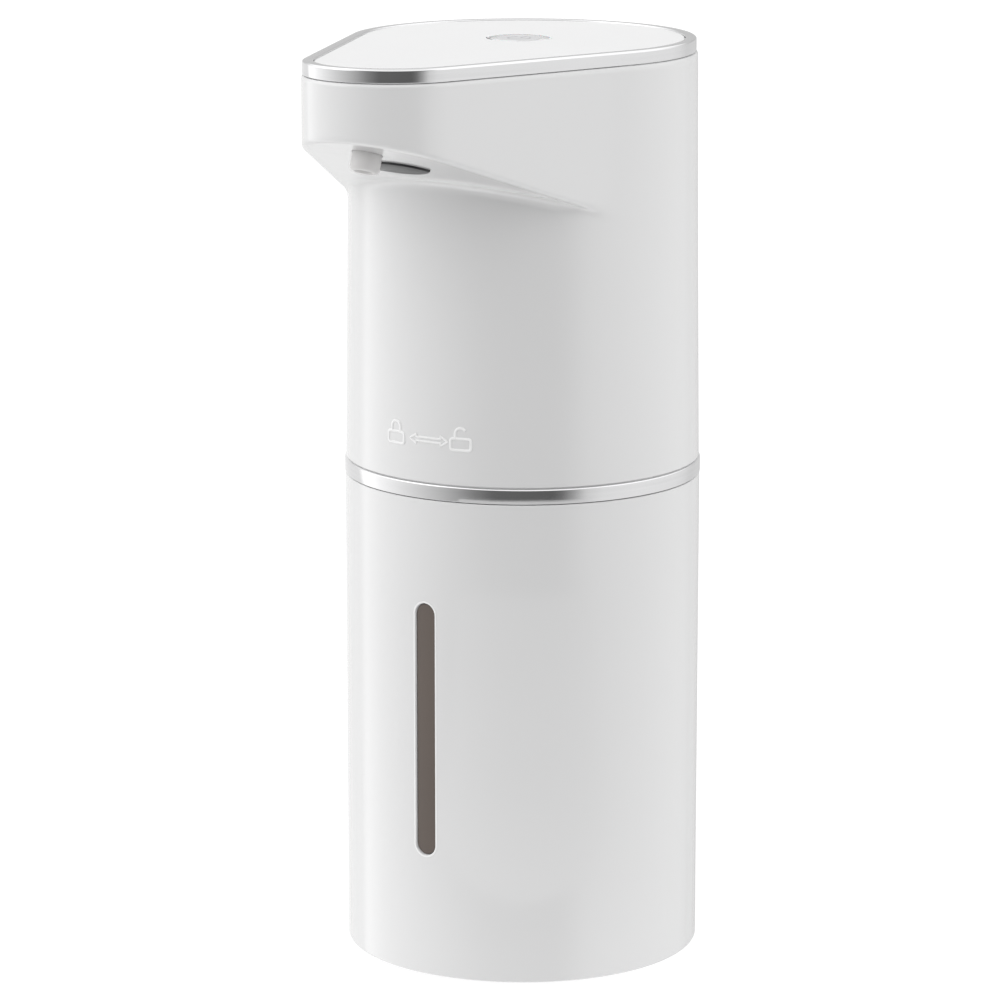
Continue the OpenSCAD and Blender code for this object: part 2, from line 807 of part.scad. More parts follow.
module chassis_base() {
    color(PALE) difference() {
        union() {
            translate([0, 0, floor_z]) cylinder(h = 2, r = plug_r);
            pipe(ring_z, head_z + 3 - ring_z, plug_r, plug_r - 2);
            pipe(ring_z, 0.9, plug_r + 1.15, plug_r - 2);
            skirt();
            around(BOSS_ANGLES, boss_ring_r) translate([0, 0, floor_z - 1.8]) cylinder(h = 2, r = 3.6);
            // Seat of the pump
            translate([0, pump_y, 0]) pipe(floor_top - EPS, 12, pump_r + 1.8, pump_r + fit_gap);
        }
        around(BOSS_ANGLES, boss_ring_r) translate([0, 0, floor_z - 3]) cylinder(h = 8, r = 1.7);
        translate([0, 0, floor_z - 1]) cylinder(h = 4, r = dip_r + 0.05);
        // Way out for the hose
        translate([0, pump_y, port_z]) rotate(port_angle) translate([8, -3, -3]) cube([12, 6, 20]);
    }
}

// Skirt that plugs into the tank's collar, with its bayonet lugs and the seal's groove
module skirt() {
    difference() {
        pipe(skirt_z, floor_z - skirt_z + EPS, skirt_r, skirt_in_r);
        pipe(seal_z - 1.1, 2.2, skirt_r + 1, groove_r);
    }
    for (i = [0 : lug_count - 1])
        rotate(i * 360 / lug_count - tab_arc / 2) rotate_extrude(angle = tab_arc)
            translate([skirt_r - 0.5, lug_z]) square([collar_in_r - clear - skirt_r + 0.5, lug_h]);
}

module chassis_screws() {
    color(STEEL) around(BOSS_ANGLES, boss_ring_r) translate([0, 0, floor_z - 3.5])
        screw(2.8, 1.7, 1.3, 8.8);
}

module seal_ring() {
    color(RUBBER) rotate_extrude() translate([seal_r, seal_z]) circle(r = seal_wire_r);
}

module dip_tube() {
    color(PALE) pipe(dip_z, cover_z - 1.5 - dip_z, dip_r, dip_bore_r);
}

module inlet_strainer() {
    color(WHITE) difference() {
        translate([0, 0, dip_z - 3]) cylinder(h = 9, r = dip_r + 1.4);
        translate([0, 0, dip_z]) cylinder(h = 8, r = dip_r + 0.05);
        translate([0, 0, dip_z - 2]) cylinder(h = 4, r = dip_bore_r);
        for (a = [0, 60, 120]) rotate(a) translate([-6, -0.6, dip_z - 4]) cube([12, 1.2, 2.4]);
    }
}

tank_shell();
inner_bottle();
neck_collar();
foot_pad();
hanger_rail();
wall_plate();
adhesive_pad();
head_shell();
lower_trim_ring();
top_trim_ring();
top_plate();
button_light_ring();
button_cap();
control_board();
board_screws();
tactile_switch();
status_led();
sensor_window();
sensor_board();
ir_emitter();
ir_receiver();
nozzle_tip();
foam_screens();
foam_chamber();
foam_hose();
pump_cover();
valve_plate();
pump_diaphragm();
pump_housing();
wobble_plate();
pump_screws();
pump_motor();
motor_sleeve();
motor_shaft();
eccentric_hub();
battery_cell();
battery_cradle();
battery_tabs();
charge_port();
charge_board();
charge_screws();
port_flap();
chassis_base();
chassis_screws();
seal_ring();
dip_tube();
inlet_strainer();
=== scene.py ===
"""Looks for the touch-free foaming soap dispenser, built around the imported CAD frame.

Every mesh is built in millimetres in the CAD frame (+Z up, nozzle towards -Y) and scaled to metres.
"""
import json
import math

import bmesh
import bpy
from mathutils import Matrix, Vector


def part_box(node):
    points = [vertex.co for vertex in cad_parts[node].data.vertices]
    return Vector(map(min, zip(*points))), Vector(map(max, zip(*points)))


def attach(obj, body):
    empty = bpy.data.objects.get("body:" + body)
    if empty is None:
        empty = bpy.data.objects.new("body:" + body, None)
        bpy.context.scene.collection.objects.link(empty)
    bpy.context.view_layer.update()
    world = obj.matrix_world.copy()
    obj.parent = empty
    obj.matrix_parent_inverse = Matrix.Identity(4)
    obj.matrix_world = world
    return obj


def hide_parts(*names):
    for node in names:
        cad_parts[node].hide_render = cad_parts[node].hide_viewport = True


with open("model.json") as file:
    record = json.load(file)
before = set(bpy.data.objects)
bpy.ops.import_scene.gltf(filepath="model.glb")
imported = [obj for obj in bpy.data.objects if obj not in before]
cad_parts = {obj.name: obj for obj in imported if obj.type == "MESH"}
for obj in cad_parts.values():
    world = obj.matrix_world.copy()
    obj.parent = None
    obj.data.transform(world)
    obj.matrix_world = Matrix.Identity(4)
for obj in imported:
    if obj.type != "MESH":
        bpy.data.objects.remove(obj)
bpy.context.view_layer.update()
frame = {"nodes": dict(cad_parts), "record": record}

MM = 0.001


def cad_mm(node):
    """Lowest and highest corner of a CAD node, in millimetres."""
    low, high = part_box(node)
    return low / MM, high / MM


# Levels and sizes read from the CAD nodes
HEAD_Z = cad_mm("head_shell")[0].z
RIM_Z = cad_mm("top_trim_ring")[0].z
TOP_Z = cad_mm("top_trim_ring")[1].z
RING_Z = cad_mm("lower_trim_ring")[0].z
TANK_Z = cad_mm("tank_shell")[0].z
TANK_TOP = cad_mm("tank_shell")[1].z
TANK_R = cad_mm("tank_shell")[1].x
PLATE_TOP = cad_mm("button_cap")[1].z

# The same values as in part.scad
TANK_WALL = 2.0
TANK_FLOOR_R = 31.4
RING_H = 3.0
RING_IN_R = 34.9
RING_RECESS_R = 36.05
RING_RECESS_H = 1.0
HEAD_WALL = 2.0
HEAD_R_LOW = 37.0
HEAD_R_TOP = 35.95
NOSE_D = 50.0
NOSE_R = 18.1
SLOPE = math.radians(20)
UNDER_TIP_Z = 177.9
LEAN = math.asin((HEAD_R_TOP - NOSE_R) / NOSE_D)
FIT_GAP = 0.15
CLEAR = 0.3
NOZZLE_D = 59.5
NOZZLE_R = 3.0
NOZZLE_LEN = 3.7
NOZZLE_BORE_R = 1.5
WINDOW_D = 48.6
WINDOW_HALF_W = 7.7
WINDOW_BULGE = 4.6
WINDOW_BACK = 4.0
WINDOW_PROUD = 0.4
SLOT_H = 53.4
SLOT_W = 4.6
SLOT_Z = 26.3
SLOT_TURN = math.radians(1.8)
TRIM_INSET = 0.2
FLANGE_INSET = 4.2
PLATE_INSET = 2.6
PLATE_Z = RIM_Z + 0.5
BUTTON_R = 6.0
BUTTON_STEM_R = 2.0
BUTTON_D = 1.6
LIGHT_RING_W = 0.5
PORT_Z = 125.0
PORT_W = 8.94
PORT_H = 3.26
FLAP_W = 14.4
FLAP_H = 9.0
FLAP_BACK_Y = 35.45
RECESS_FLOOR_Y = 35.2
RECESS_W = FLAP_W + 0.6
RECESS_H = FLAP_H + 0.9
RECESS_MID_Z = PORT_Z - 0.15

# Fillets and edge breaks
ROOT_FILLET = 2.2
EDGE_FILLET = 1.1
PINCH_SPAN = 2.4
EDGE_BREAK = 0.35
TOP_BREAK = 0.65
COLUMN_BLEND = 0.6
SLOT_BREAK = 0.28

# Raised lines: the lip round the level window, whose whiter colour paints the highlight on the window's
# edge, and the lock marks
LIP_W = 0.36
LIP_H = 0.07
MARK_W = 0.55
MARK_H = 0.16
MARK_Z = 112.5
MARK_SHIFT = -0.85
PADLOCK_SPACING = 7.85
PADLOCK_W = 4.4
PADLOCK_H = 2.35
SHACKLE_R = 1.2

# Camera, in metres: azimuth from -Y towards +X, level distance, sideways shift, height and pitch
CAMERA_AZIMUTH = math.radians(31.0)
CAMERA_DISTANCE = 0.902913
CAMERA_SIDE = 0.004723
CAMERA_HEIGHT = 0.28904
CAMERA_PITCH = math.radians(12.149)
CAMERA_LENS = 157.92

# Floor and backdrop
FLOOR_R = 6000
FLOOR_GLOW = 0.82
BACKDROP_H = 6000
BACKDROP_GLOW = 1.05
FOREGROUND_LEVEL = 0.61

# What gloss and metal mirror round about: degrees from the camera's azimuth, and brightness
REFLECTIONS = [
    (-180, 0.83), (-165, 0.9), (-141, 0.84), (-126, 0.84), (-119, 1.35), (-112, 1.3), (-100, 1.1),
    (-90, 0.98), (-70, 0.74), (-50, 0.5), (-40, 0.36), (-30, 0.21), (-18, 0.1), (18, 0.08), (24, 0.14),
    (31, 0.35), (39, 0.68), (50, 0.8), (75, 0.85), (112, 0.83), (122, 0.78), (134, 0.68), (150, 0.68),
    (166, 0.6), (180, 0.83),
]
REFLECTION_REACH = 380
REFLECTION_BOTTOM = -400
REFLECTION_TOP = 215

# The sky's strength, each as: cosine where a change starts and ends, and the levels there
SKY_FRONT = (0.3, 0.95, 1.0, 0.0)
SKY_BACK = (-1.0, -0.1, 0.4, 1.0)
SKY_SIDES = (-1.0, 1.0, 1.3, 1.72)
SKY_OVERHEAD = (0.1, 0.52, 0.0, 1.26)
SKY_ZENITH = (0.82, 0.97, 1.0, 0.55)


def make_camera():
    """The camera at the dispenser's front left, a little above it."""
    side = Vector((math.cos(CAMERA_AZIMUTH), math.sin(CAMERA_AZIMUTH), 0))
    ahead = Vector((-math.sin(CAMERA_AZIMUTH), math.cos(CAMERA_AZIMUTH), 0))
    data = bpy.data.cameras.new("camera")
    data.lens = CAMERA_LENS
    data.sensor_width = 36
    data.clip_start = 0.01
    camera = bpy.data.objects.new("camera", data)
    camera.location = -ahead * CAMERA_DISTANCE - side * CAMERA_SIDE + Vector((0, 0, CAMERA_HEIGHT))
    camera.rotation_euler = (math.pi / 2 - CAMERA_PITCH, 0, CAMERA_AZIMUTH)
    bpy.context.scene.collection.objects.link(camera)
    bpy.context.scene.camera = camera


# ---- Mesh helpers ----


def make_object(name, verts, faces):
    """A mesh object from millimetre coordinates, with its faces turned outwards."""
    mesh = bpy.data.meshes.new(name)
    mesh.from_pydata([Vector(v) * MM for v in verts], [], faces)
    shape = bmesh.new()
    shape.from_mesh(mesh)
    bmesh.ops.recalc_face_normals(shape, faces=shape.faces)
    shape.to_mesh(mesh)
    shape.free()
    piece = bpy.data.objects.new(name, mesh)
    bpy.context.scene.collection.objects.link(piece)
    return piece


def loft(name, rings, capped=False):
    """A skin over rings of equally many points: a closed loop of rings, or a capped stack."""
    count = len(rings[0])
    verts = [p for ring in rings for p in ring]
    faces = []
    for r in range(len(rings) - 1 if capped else len(rings)):
        low, high = r * count, (r + 1) % len(rings) * count
        for c in range(count):
            d = (c + 1) % count
            faces.append((low + c, low + d, high + d, high + c))
    if capped:
        faces.append(tuple(range(count)))
        faces.append(tuple(range((len(rings) - 1) * count, len(rings) * count)))
    return make_object(name, verts, faces)


def lathe(name, profile, steps=128, capped=False):
    """A profile of (radius, z) turned round the Z axis."""
    turns = [2 * math.pi * i / steps for i in range(steps)]
    rings = [[(r * math.cos(a), r * math.sin(a), z) for a in turns] for r, z in profile]
    return loft(name, rings, capped)


def moved(piece, place):
    """Moves a piece's mesh by a matrix whose shift is in millimetres."""
    scaled = place.copy()
    scaled.translation = place.translation * MM
    piece.data.transform(scaled)
    return piece


def cut(piece, cutter):
    """Takes the cutter's volume out of the piece and deletes the cutter."""
    boolean = piece.modifiers.new("cut", "BOOLEAN")
    boolean.operation = "DIFFERENCE"
    boolean.solver = "EXACT"
    boolean.object = cutter
    bpy.context.view_layer.update()
    evaluated = piece.evaluated_get(bpy.context.evaluated_depsgraph_get())
    mesh = bpy.data.meshes.new_from_object(evaluated)
    piece.modifiers.clear()
    piece.data = mesh
    bpy.data.objects.remove(cutter)
    return piece


def finish_piece(piece, body, material_slot, replaced=(), look=None):
    """Shades a piece, gives it its slot's material or another look, and lets it ride on a CAD body."""
    piece.data.shade_smooth()
    piece.data.set_sharp_from_angle(angle=math.radians(36))
    piece.data.materials.clear()
    piece.data.materials.append(materials[look or material_slot])
    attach(piece, body)
    if replaced:
        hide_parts(*replaced)
    return piece


def curve(start, control, end, steps):
    """Quadratic curve from start to end, both included."""
    shares = [i / steps for i in range(steps + 1)]
    return [start * (1 - t) ** 2 + control * 2 * t * (1 - t) + end * t**2 for t in shares]


def rounded(profile, lengths, steps=4):
    """A closed 2-D profile whose corners are rounded, each by its own length."""
    corners = [Vector(p) for p in profile]
    points = []
    for i, (corner, length) in enumerate(zip(corners, lengths)):
        if length == 0:
            points.append(corner)
            continue
        back = (corners[i - 1] - corner).normalized() * length
        on = (corners[(i + 1) % len(corners)] - corner).normalized() * length
        points += curve(corner + back, corner, corner + on, steps)
    return [tuple(p) for p in points]


def stadium(width, height, steps=16):
    """Outline (u, v) of an upright slot with half-round ends, its lowest point at the origin."""
    r = width / 2
    half = [math.pi * i / steps for i in range(steps + 1)]
    top = [(r * math.cos(a), height - r + r * math.sin(a)) for a in half]
    bottom = [(-r * math.cos(a), r - r * math.sin(a)) for a in half]
    return top + bottom


def rounded_box_outline(width, height, corner, steps=6):
    """Outline (u, v) of a rectangle with round corners, centred on the origin."""
    points = []
    for k, (sx, sy) in enumerate([(1, 1), (-1, 1), (-1, -1), (1, -1)]):
        for i in range(steps + 1):
            a = math.pi / 2 * (k + i / steps)
            points.append((
                sx * (width / 2 - corner) + corner * math.cos(a),
                sy * (height / 2 - corner) + corner * math.sin(a),
            ))
    return points


def densified(line, step):
    """A closed line with extra points, about a step apart."""
    points = []
    for i, start in enumerate(line):
        a, b = Vector(start), Vector(line[(i + 1) % len(line)])
        pieces = max(1, round((b - a).length / step))
        points += [tuple(a.lerp(b, k / pieces)) for k in range(pieces)]
    return points


def ribbon(name, line, width, height, place, closed=False):
    """A raised line of softly rounded section. place maps (u, v, height) to a 3-D point."""
    left = [(-0.5, -0.3), (-0.5, 0.35), (-0.3, 0.9)]
    section = left + [(0, 1)] + [(-across, up) for across, up in reversed(left)]
    count = len(line)
    rings = []
    for i, point in enumerate(line):
        before = Vector(line[i - 1] if closed or i > 0 else line[0])
        after = Vector(line[(i + 1) % count] if closed or i < count - 1 else line[-1])
        along = (after - before).normalized()
        across = Vector((-along.y, along.x)) * width
        rings.append([
            place(point[0] + across.x * s, point[1] + across.y * s, height * h) for s, h in section
        ])
    return loft(name, rings, capped=not closed)


# ---- The head's shape ----


def column_r(z):
    """Outer radius of the head's slightly tapered column at a level."""
    return HEAD_R_LOW + (HEAD_R_TOP - HEAD_R_LOW) * (z - HEAD_Z) / (RIM_Z - HEAD_Z)


def under_z(along):
    """Height of the spout's underside at a distance from the column's axis."""
    return UNDER_TIP_Z - (NOSE_D + NOSE_R - along) * math.tan(SLOPE)


def underside_frame(along):
    """Frame on the underside: +Y runs back along the slope, +Z into the spout."""
    place = Matrix.Translation((0, -along, under_z(along)))
    return place @ Matrix.Rotation(-SLOPE, 4, "X")


def drop_reach(phi, inset):
    """Distance from the column's axis to the drop's outline in direction phi from -Y,
    and how squarely the outline faces that direction."""
    big, small = HEAD_R_TOP - inset, NOSE_R - inset
    side = math.pi / 2 - LEAN
    turn = abs(phi)
    nose_edge = math.atan2(small * math.cos(LEAN), NOSE_D + small * math.sin(LEAN))
    if turn >= side:
        return big, 1.0
    if turn > nose_edge:
        return big / math.cos(side - turn), math.cos(side - turn)
    reach = NOSE_D * math.cos(turn) + math.sqrt(small**2 - (NOSE_D * math.sin(turn)) ** 2)
    return reach, (reach - NOSE_D * math.cos(turn)) / small


def head_directions(nose_steps=34, flank_steps=40, back_steps=96):
    """Directions from -Y round the head, close together where the nose bends."""
    side = math.pi / 2 - LEAN
    nose = []
    for i in range(-nose_steps, nose_steps + 1):
        turn = side * i / nose_steps
        nose.append(math.atan2(NOSE_R * math.sin(turn), NOSE_D + NOSE_R * math.cos(turn)))
    flank = [nose[-1] + (side - nose[-1]) * i / flank_steps for i in range(1, flank_steps + 1)]
    back = [side + (2 * math.pi - 2 * side) * i / back_steps for i in range(1, back_steps)]
    return nose + flank + back + [-a for a in reversed(flank)]


def smooth_max(a, b, blend):
    """The larger of two values, with a soft change-over where they are closer than blend."""
    near = max(blend - abs(a - b), 0) / blend
    return max(a, b) + near * near * blend / 4


def wall_reach(phi, z, inset):
    """Distance from the axis to the head's upright wall: the drop's outline or the column."""
    return smooth_max(column_r(z) - inset, drop_reach(phi, inset)[0], COLUMN_BLEND)


def spout_corners(phi, inset):
    """Where the underside meets the column and the spout's wall, as (reach, z) vectors.
    Where the spout ends, the two are kept apart so that its crease fades out."""
    lift = inset / math.cos(SLOPE)
    root_z = edge_z = 160.0
    # Each height depends on the reach at that height, and settles within a few rounds
    for _ in range(8):
        root_z = under_z((column_r(root_z) - inset) * math.cos(phi)) + lift
        edge_z = under_z(wall_reach(phi, edge_z, inset) * math.cos(phi)) + lift
    reach = wall_reach(phi, edge_z, inset) - column_r(root_z) + inset
    pull = max(0, PINCH_SPAN - math.hypot(reach, edge_z - root_z)) / 2
    root = Vector((column_r(root_z - pull) - inset, root_z - pull))
    edge = Vector((wall_reach(phi, edge_z + pull, inset), edge_z + pull))
    return root, edge


def outer_profile(phi):
    """(reach, z) points up the outside of the head in direction phi."""
    facing = drop_reach(phi, 0)[1]
    root, edge = spout_corners(phi, 0)
    slant = edge - root
    longest = 0.45 * slant.length
    root_len = min(ROOT_FILLET, longest)
    edge_len = min(EDGE_FILLET / facing, longest)
    bottom = Vector((column_r(HEAD_Z + EDGE_BREAK), HEAD_Z + EDGE_BREAK))
    root_start = Vector((column_r(root.y - root_len), root.y - root_len))
    root_end = root + slant.normalized() * root_len
    edge_start = edge - slant.normalized() * edge_len
    edge_end_z = edge.y + EDGE_FILLET
    wall_top_z = RIM_Z - TOP_BREAK
    even = (0.03, 0.25, 0.5, 0.75, 0.97)
    points = [bottom - Vector((EDGE_BREAK, EDGE_BREAK)), bottom]
    points += [bottom.lerp(root_start, s) for s in (0.01, 0.1, 0.25, 0.4, 0.55, 0.7, 0.85, 0.98)]
    points += curve(root_start, root, root_end, 8)
    points += [root_end.lerp(edge_start, s) for s in even]
    points += curve(edge_start, edge, Vector((wall_reach(phi, edge_end_z, 0), edge_end_z)), 6)
    for share in even + (1,):
        z = edge_end_z + (wall_top_z - edge_end_z) * share
        points.append(Vector((wall_reach(phi, z, 0), z)))
    wall_top = points[-1]
    points.append(wall_top + Vector((-0.3 * TOP_BREAK / facing, 0.7 * TOP_BREAK)))
    points.append(wall_top + Vector((-TOP_BREAK / facing, TOP_BREAK)))
    return points


def inner_profile(phi):
    """(reach, z) points down the inside of the head in direction phi."""
    root, edge = spout_corners(phi, HEAD_WALL)
    top = Vector((wall_reach(phi, RIM_Z, HEAD_WALL), RIM_Z))
    low = Vector((column_r(HEAD_Z) - HEAD_WALL, HEAD_Z))
    return [top, top.lerp(edge, 0.5), edge, edge.lerp(root, 0.5), root, root.lerp(low, 0.5), low]


def leaf_outline(grow, steps=40):
    """Outline (u, v) of the sensor window: two arcs, bulging towards -v and +v, that meet in corners."""
    arcs = []
    for bulge, way in ((WINDOW_BULGE, 1), (WINDOW_BACK, -1)):
        r = (WINDOW_HALF_W**2 + bulge**2) / (2 * bulge)
        arcs.append((r + grow, way * (r - bulge)))
    (r_front, v_front), (r_back, v_back) = arcs
    corner_v = (v_front + v_back - (r_front**2 - r_back**2) / (v_front - v_back)) / 2
    corner_u = math.sqrt(r_front**2 - (corner_v - v_front) ** 2)
    points = []
    for (r, centre_v), way in zip(arcs, (1, -1)):
        reach = math.atan2(corner_u, way * (centre_v - corner_v))
        turns = [reach * (2 * i / steps - 1) for i in range(steps)]
        points += [(way * r * math.sin(a), centre_v - way * r * math.cos(a)) for a in turns]
    return points


def back_cutter(name, width, height, corner, mid_z, y_from, y_to):
    """A block with round corners that cuts into the head's back."""
    outline = rounded_box_outline(width, height, corner)
    rings = [[(u, y, mid_z + v) for u, v in outline] for y in (y_from, y_to)]
    return loft(name, rings, capped=True)


def recess_cutter():
    """The recess behind the charging flap."""
    return back_cutter(
        "recess_cutter", RECESS_W, RECESS_H, 0.8, RECESS_MID_Z, RECESS_FLOOR_Y, HEAD_R_LOW + 3
    )


def socket_cutter():
    """The hole round the charging socket."""
    width, height = PORT_W + 2 * FIT_GAP, PORT_H + 2 * FIT_GAP
    return back_cutter("socket_cutter", width, height, 1.2, PORT_Z, HEAD_R_LOW - 7, HEAD_R_LOW + 1)


def nozzle_cutter():
    """The hole round the nozzle, square to the underside."""
    r = NOZZLE_R + FIT_GAP
    return moved(lathe("nozzle_cutter", [(r, -2), (r, 5)], 48, capped=True), underside_frame(NOZZLE_D))


def window_cutter():
    """The hole round the sensor window, whose edge is chamfered."""
    levels = [(-1, FIT_GAP + 1.25), (0.25, FIT_GAP), (5, FIT_GAP)]
    rings = [[(u, v, z) for u, v in leaf_outline(grow)] for z, grow in levels]
    return moved(loft("window_cutter", rings, capped=True), underside_frame(WINDOW_D))


def make_head():
    """The head's shell: one closed skin, with its holes cut."""
    rings = []
    for profile in (outer_profile, inner_profile):
        columns = [(phi, profile(phi)) for phi in head_directions()]
        for row in range(len(columns[0][1])):
            rings.append([
                (p[row].x * math.sin(phi), -p[row].x * math.cos(phi), p[row].y)
                for phi, p in columns
            ])
    head = loft("head_skin", rings)
    for cutter in (recess_cutter(), socket_cutter(), nozzle_cutter(), window_cutter()):
        cut(head, cutter)
    finish_piece(head, "head", "white_gloss", ["head_shell"])


# ---- Tank and rings ----


def on_tank(u, v, height):
    """A point on the tank, u along its girth from the level window's middle and at level v."""
    turn = u / TANK_R - SLOT_TURN
    reach = TANK_R + height
    return (reach * math.sin(turn), -reach * math.cos(turn), v)


def tank_profile(wall_steps=20):
    """(radius, z) points round the tank's wall, with extra ones up its outside."""
    inner = TANK_R - TANK_WALL
    floor_z = cad_mm("inner_bottle")[0].z
    corners = [(TANK_FLOOR_R, TANK_Z), (TANK_R, TANK_Z), (TANK_R, TANK_TOP)]
    corners += [(inner, TANK_TOP), (inner, floor_z), (TANK_FLOOR_R, floor_z)]
    profile = rounded(corners, [0, 0.4, 0.3, 0, 0, 0])
    low, rise = TANK_Z + 1, TANK_TOP - TANK_Z - 2
    wall = [(TANK_R, low + rise * i / wall_steps) for i in range(wall_steps + 1)]
    foot_points = sum(z < TANK_Z + 0.9 for _, z in profile)
    return profile[:foot_points] + wall + profile[foot_points:]


def slot_cutter():
    """The level window's hole, whose edge is broken all round."""
    inside_r = 33
    grow_out = 0.7 * SLOT_BREAK
    levels = [(inside_r, 0), (TANK_R - SLOT_BREAK, 0), (TANK_R, grow_out), (TANK_R + 0.5, grow_out + 2)]
    rings = []
    for reach, grow in levels:
        outline = stadium(SLOT_W + 2 * grow, SLOT_H + 2 * grow)
        rings.append([
            (u, -math.sqrt(reach**2 - u**2), SLOT_Z - grow + v) for u, v in outline
        ])
    return moved(loft("slot_cutter", rings, capped=True), Matrix.Rotation(-SLOT_TURN, 4, "Z"))


def make_tank():
    """The tank's shell with its level window."""
    tank = lathe("tank_skin", tank_profile(), 240)
    cut(tank, slot_cutter())
    finish_piece(tank, "tank", "white_gloss", ["tank_shell"])


def make_highlight_lip():
    """A very low lip round the level window, in a whiter material that paints the highlight on the
    window's edge.
    """
    out = 0.3
    line = [(u, SLOT_Z - out + v) for u, v in stadium(SLOT_W + 2 * out, SLOT_H + 2 * out)]
    lip = ribbon("slot_highlight_lip", densified(line, 3), LIP_W, LIP_H, on_tank, closed=True)
    # Whiter than the tank: a painted highlight along the level window's edge
    finish_piece(lip, "tank", "white_gloss", look="mark_and_highlight_white")


def make_silver_ring():
    """The ring between tank and head, with a recess inside its lower edge."""
    r = TANK_R + 0.1
    low, roof, high = RING_Z - 0.1, RING_Z + RING_RECESS_H, RING_Z + RING_H
    corners = [(RING_IN_R, roof), (RING_RECESS_R, roof), (RING_RECESS_R, low)]
    corners += [(r, low), (r, high), (RING_IN_R, high)]
    profile = rounded(corners, [0, 0, 0, 0.12, 0.45, 0])
    finish_piece(lathe("silver_ring", profile, 240), "head", "silver_trim", ["lower_trim_ring"])


def drop_ring(inset, z, nose_steps=40, back_steps=110):
    """The drop's outline shrunk by inset, as points that match from one inset to the next."""
    side = math.pi / 2 - LEAN
    nose = [side * i / nose_steps for i in range(-nose_steps, nose_steps + 1)]
    back = [side + (2 * math.pi - 2 * side) * i / back_steps for i in range(back_steps + 1)]
    small, big = NOSE_R - inset, HEAD_R_TOP - inset
    ring = [(small * math.sin(a), -NOSE_D - small * math.cos(a), z) for a in nose]
    ring += [(big * math.sin(a), -big * math.cos(a), z) for a in back]
    return ring


def make_top_trim():
    """The silver trim round the top, with a flange under the white cover."""
    lip_inset = PLATE_INSET - 0.1
    corners = [(FLANGE_INSET, RIM_Z), (TRIM_INSET, RIM_Z), (TRIM_INSET, TOP_Z)]
    corners += [(lip_inset, TOP_Z), (lip_inset, PLATE_Z), (FLANGE_INSET, PLATE_Z)]
    profile = rounded(corners, [0, 0.25, 0.45, 0.25, 0, 0])
    trim = loft("rim_trim", [drop_ring(inset, z) for inset, z in profile])
    finish_piece(trim, "head", "silver_trim", ["top_trim_ring"])


def button_circle(r, z, ring):
    """A circle round the button's axis, with a point towards each point of the ring."""
    circle = []
    for x, y, _ in ring:
        away = Vector((x, y + BUTTON_D)).normalized() * r
        circle.append((away.x, away.y - BUTTON_D, z))
    return circle


def make_top_plate():
    """The white cover: a soft outer edge and a round hole for the button."""
    outline = drop_ring(PLATE_INSET, PLATE_TOP)
    hole_r = BUTTON_R + CLEAR + LIGHT_RING_W
    edge = rounded([(0, PLATE_Z), (0, PLATE_TOP), (3, PLATE_TOP)], [0, 0.45, 0])
    rings = [drop_ring(PLATE_INSET + inset, z) for inset, z in edge]
    rings += [button_circle(r, PLATE_TOP, outline) for r in (hole_r + 3, hole_r + 0.25)]
    rings += [button_circle(hole_r, z, outline) for z in (PLATE_TOP - 0.2, PLATE_Z)]
    cover = loft("top_cover", rings)
    finish_piece(cover, "head", "white_gloss", ["top_plate"], look="cover_white")


def make_button():
    """The power button, slightly dished, with a pale disc and a generic power mark on it."""
    place = Matrix.Translation((0, -BUTTON_D, 0))
    base_z = cad_mm("button_cap")[0].z
    dish = PLATE_TOP - 0.12
    disc_r = 4.5
    low, stem_r = PLATE_Z - 0.2, BUTTON_STEM_R
    profile = [(stem_r, base_z), (stem_r, low), (BUTTON_R, low), (BUTTON_R, PLATE_TOP - 0.35)]
    profile += [(BUTTON_R - 0.08, PLATE_TOP - 0.15), (BUTTON_R - 0.3, PLATE_TOP - 0.03)]
    profile += [(BUTTON_R - 0.6, PLATE_TOP), (disc_r + 0.6, PLATE_TOP - 0.03)]
    profile += [(disc_r + 0.1, dish), (stem_r, dish)]
    cap = moved(lathe("power_button", profile, 96, capped=True), place)
    finish_piece(cap, "button", "white_gloss", ["button_cap"])
    disc = [(disc_r, dish - 0.1), (disc_r, dish + 0.02), (disc_r - 0.15, dish + 0.05), (1, dish + 0.05)]
    face = moved(lathe("button_disc", disc, 96, capped=True), place)
    finish_piece(face, "button", "light_diffuser", look="button_disc")
    make_power_mark(dish)


def make_power_mark(level):
    """An open ring and a bar, raised on the button's disc."""
    loop_r, half_open, bar_from, bar_to = 2.3, 140, 0.9, 3.1
    width, height = 0.5, 0.1
    turns = [math.radians(a) for a in range(-half_open, half_open + 1, 10)]
    loop = [(loop_r * math.sin(a), -loop_r * math.cos(a)) for a in turns]
    bar = [(0, bar_from), (0, bar_to)]
    for name, line in (("power_mark_loop", loop), ("power_mark_bar", bar)):
        mark = ribbon(name, line, width, height, lambda u, v, h: (u, v - BUTTON_D, level + h))
        finish_piece(mark, "button", "grey_plastic", look="button_mark")


# ---- Nozzle and sensor ----


def make_nozzle():
    """A short tube with a rounded lip round its bore, and a flange that holds it inside the spout."""
    lip = -NOZZLE_LEN
    flange, top = HEAD_WALL + 0.1, HEAD_WALL + 1.1
    profile = [(NOZZLE_BORE_R, top), (NOZZLE_BORE_R, lip + 0.9), (NOZZLE_BORE_R + 0.3, lip + 0.2)]
    profile += [(NOZZLE_BORE_R + 0.6, lip), (NOZZLE_R - 0.8, lip), (NOZZLE_R - 0.38, lip + 0.14)]
    profile += [(NOZZLE_R - 0.1, lip + 0.42), (NOZZLE_R, lip + 0.85), (NOZZLE_R, -0.5)]
    profile += [(NOZZLE_R, flange), (NOZZLE_R + 1.2, flange), (NOZZLE_R + 1.2, top)]
    tip = moved(lathe("nozzle", profile, 72), underside_frame(NOZZLE_D))
    finish_piece(tip, "head", "nozzle_white", ["nozzle_tip"])


